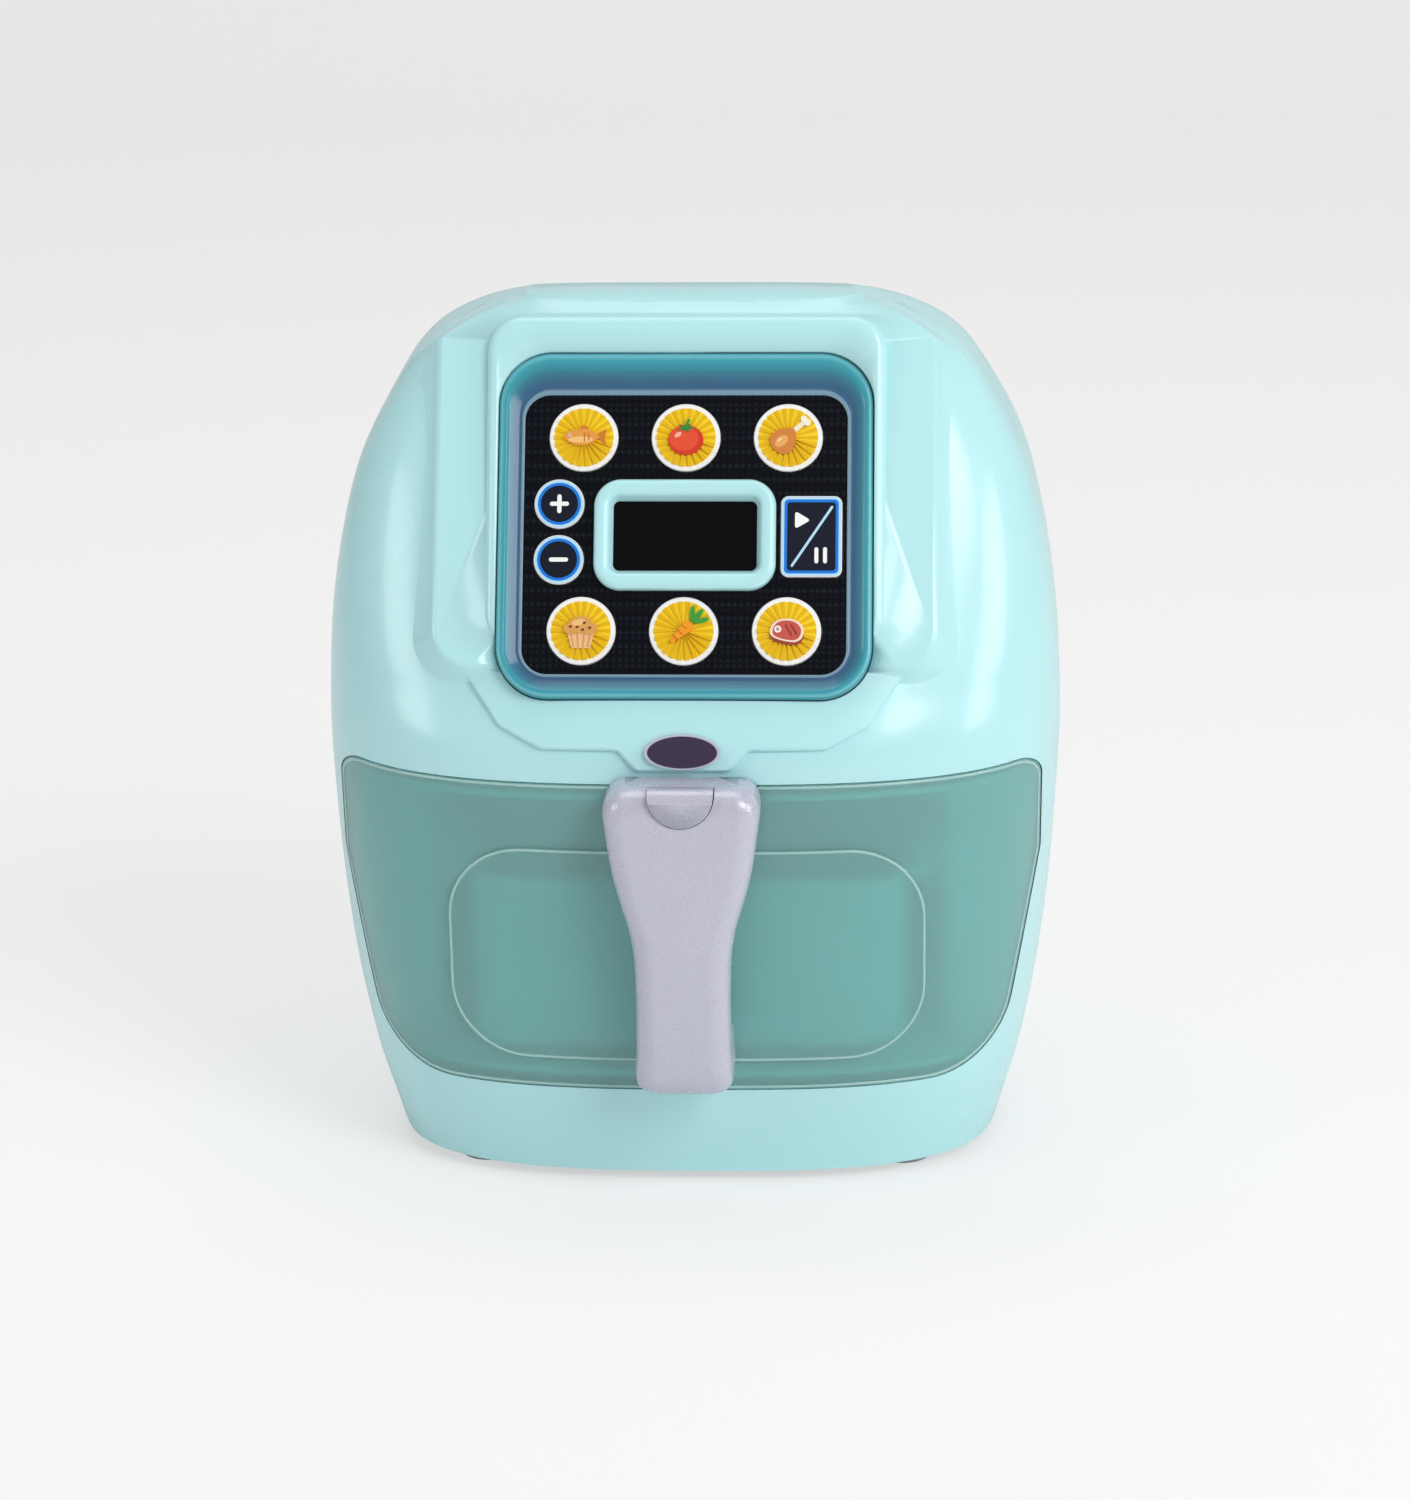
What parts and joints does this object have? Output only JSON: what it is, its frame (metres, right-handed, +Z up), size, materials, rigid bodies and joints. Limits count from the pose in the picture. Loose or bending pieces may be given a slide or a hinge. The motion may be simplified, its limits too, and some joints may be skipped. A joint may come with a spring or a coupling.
{
  "type": "toy air fryer",
  "caption": "Rounded toy air fryer with a leaning key panel, a frosted pull-out drawer with tub and tray, a bar handle with thumb button, and a battery bay under its base",
  "frame": {"origin": "middle of the overall footprint, on the standing surface under the feet", "axes": "+X to the right as seen from the front, -Y to the front where the handle is, +Z up"},
  "size_m": [0.193, 0.165, 0.227],
  "materials": {
    "body_shell": "satin gloss",
    "bezel": "clear gloss",
    "panel": "gloss",
    "food_key": "gloss",
    "round_key": "gloss",
    "display_frame": "satin gloss",
    "lens": "clear dark plastic lens",
    "diffuser": "milky",
    "led": "clear",
    "rubber_sheet": "matt",
    "board": "solder mask",
    "chip": "resin blob",
    "badge": "gloss",
    "drawer_panel": "frosted clear plastic",
    "tub": "satin",
    "tray": "satin",
    "handle": "satin",
    "button": "satin",
    "liner": "moulded",
    "base": "fine texture",
    "foot": "matt",
    "steel_screw": "zinc plated",
    "spring_steel": "nickel plated",
    "contact": "nickel plated",
    "cell": "printed sleeve",
    "speaker_basket": "moulded",
    "speaker_paper": "paper",
    "magnet": "plated",
    "switch": "moulded",
    "wire": "insulation"
  },
  "bodies": {
    "housing": {"front_housing": "body_shell", "rear_housing": "body_shell", "window_bezel": "bezel", "control_panel": "panel", "display_frame": "display_frame", "display_lens": "lens", "display_diffuser": "diffuser", "display_leds": "led", "key_membrane": "rubber_sheet", "circuit_board": "board", "controller_chip": "chip", "badge_plate": "badge", "drawer_chamber": "liner", "rail_left": "liner", "rail_right": "liner", "base_plate": "base", "foot_front_left": "foot", "foot_front_right": "foot", "foot_rear_left": "foot", "foot_rear_right": "foot", "board_screws": "steel_screw", "housing_screws": "steel_screw", "base_screws": "steel_screw", "battery_springs": "spring_steel", "battery_contacts": "contact", "battery_cells": "cell", "speaker_frame": "speaker_basket", "speaker_ring": "speaker_basket", "speaker_cone": "speaker_paper", "speaker_magnet": "magnet", "switch_body": "switch", "battery_wires": "wire", "speaker_wires": "wire"},
    "drawer": {"drawer_front": "drawer_panel", "drawer_bracket": "tub", "drawer_tub": "tub", "crisper_tray": "tray", "handle_front": "handle", "handle_back": "handle", "handle_screws": "steel_screw", "release_spring": "spring_steel"},
    "release": {"release_button": "button"},
    "battery_hatch": {"battery_door": "base", "battery_door_screw": "steel_screw"},
    "switch_slider": {"switch_knob": "switch"},
    "key_top_left_body": {"key_top_left": "food_key"},
    "key_top_middle_body": {"key_top_middle": "food_key"},
    "key_top_right_body": {"key_top_right": "food_key"},
    "key_bottom_left_body": {"key_bottom_left": "food_key"},
    "key_bottom_middle_body": {"key_bottom_middle": "food_key"},
    "key_bottom_right_body": {"key_bottom_right": "food_key"},
    "plus_key_body": {"plus_key": "round_key"},
    "minus_key_body": {"minus_key": "round_key"},
    "play_pause_key_body": {"play_pause_key": "round_key"}
  },
  "joints": [
    {"name": "drawer_slide", "type": "slide", "parent": "housing", "child": "drawer", "axis": [0, -1, 0], "range_m": [0, 0.06]},
    {"name": "release_press", "type": "slide", "parent": "drawer", "child": "release", "axis": [0, 1, 0], "range_m": [0, 0.002], "stiffness_N_per_m": 400, "springref_m": -0.001, "deforming": ["release_spring"]},
    {"name": "key_top_left_press", "type": "slide", "parent": "housing", "child": "key_top_left_body", "axis": [0, 0.8988, -0.4384], "range_m": [0, 0.0008], "stiffness_N_per_m": 400, "springref_m": -0.0005},
    {"name": "key_top_middle_press", "type": "slide", "parent": "housing", "child": "key_top_middle_body", "axis": [0, 0.8988, -0.4384], "range_m": [0, 0.0008], "stiffness_N_per_m": 400, "springref_m": -0.0005},
    {"name": "key_top_right_press", "type": "slide", "parent": "housing", "child": "key_top_right_body", "axis": [0, 0.8988, -0.4384], "range_m": [0, 0.0008], "stiffness_N_per_m": 400, "springref_m": -0.0005},
    {"name": "key_bottom_left_press", "type": "slide", "parent": "housing", "child": "key_bottom_left_body", "axis": [0, 0.8988, -0.4384], "range_m": [0, 0.0008], "stiffness_N_per_m": 400, "springref_m": -0.0005},
    {"name": "key_bottom_middle_press", "type": "slide", "parent": "housing", "child": "key_bottom_middle_body", "axis": [0, 0.8988, -0.4384], "range_m": [0, 0.0008], "stiffness_N_per_m": 400, "springref_m": -0.0005},
    {"name": "key_bottom_right_press", "type": "slide", "parent": "housing", "child": "key_bottom_right_body", "axis": [0, 0.8988, -0.4384], "range_m": [0, 0.0008], "stiffness_N_per_m": 400, "springref_m": -0.0005},
    {"name": "plus_press", "type": "slide", "parent": "housing", "child": "plus_key_body", "axis": [0, 0.8988, -0.4384], "range_m": [0, 0.0008], "stiffness_N_per_m": 400, "springref_m": -0.0005},
    {"name": "minus_press", "type": "slide", "parent": "housing", "child": "minus_key_body", "axis": [0, 0.8988, -0.4384], "range_m": [0, 0.0008], "stiffness_N_per_m": 400, "springref_m": -0.0005},
    {"name": "play_pause_press", "type": "slide", "parent": "housing", "child": "play_pause_key_body", "axis": [0, 0.8988, -0.4384], "range_m": [0, 0.0008], "stiffness_N_per_m": 400, "springref_m": -0.0005},
    {"name": "battery_door_swing", "type": "hinge", "parent": "housing", "child": "battery_hatch", "pos_m": [0, 0.0324, 0.0042], "axis": [1, 0, 0], "range_deg": [0, 90]},
    {"name": "switch_travel", "type": "slide", "parent": "housing", "child": "switch_slider", "axis": [1, 0, 0], "range_m": [0, 0.004]}
  ]
}
